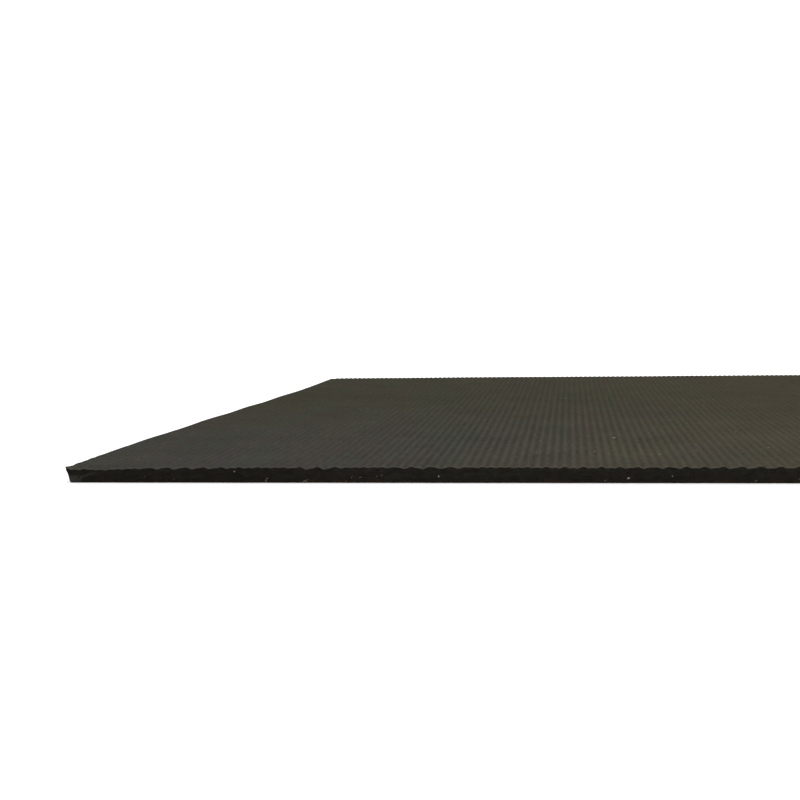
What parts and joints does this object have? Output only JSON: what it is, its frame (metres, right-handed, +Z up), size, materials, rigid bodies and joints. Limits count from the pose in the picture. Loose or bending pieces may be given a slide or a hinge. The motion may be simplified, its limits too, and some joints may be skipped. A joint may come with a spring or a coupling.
{
  "type": "rubber sheet",
  "caption": "Flat square rubber sheet with a finely ribbed top, a flat underside and knife-cut edges, lying on the floor.",
  "frame": {"origin": "centre of the sheet's bounding box in plan, at the level of its underside", "axes": "+X across the ribs, to the right as seen from the front; +Y along the ribs, from the front edge to the back; +Z up, out of the ribbed top"},
  "size_m": [0.6, 0.6, 0.01],
  "materials": {
    "rubber": "dull, dark olive grey on top; near black with tan fibres on the cut edges"
  },
  "bodies": {
    "root": {"rubber_sheet": "rubber"}
  },
  "joints": []
}
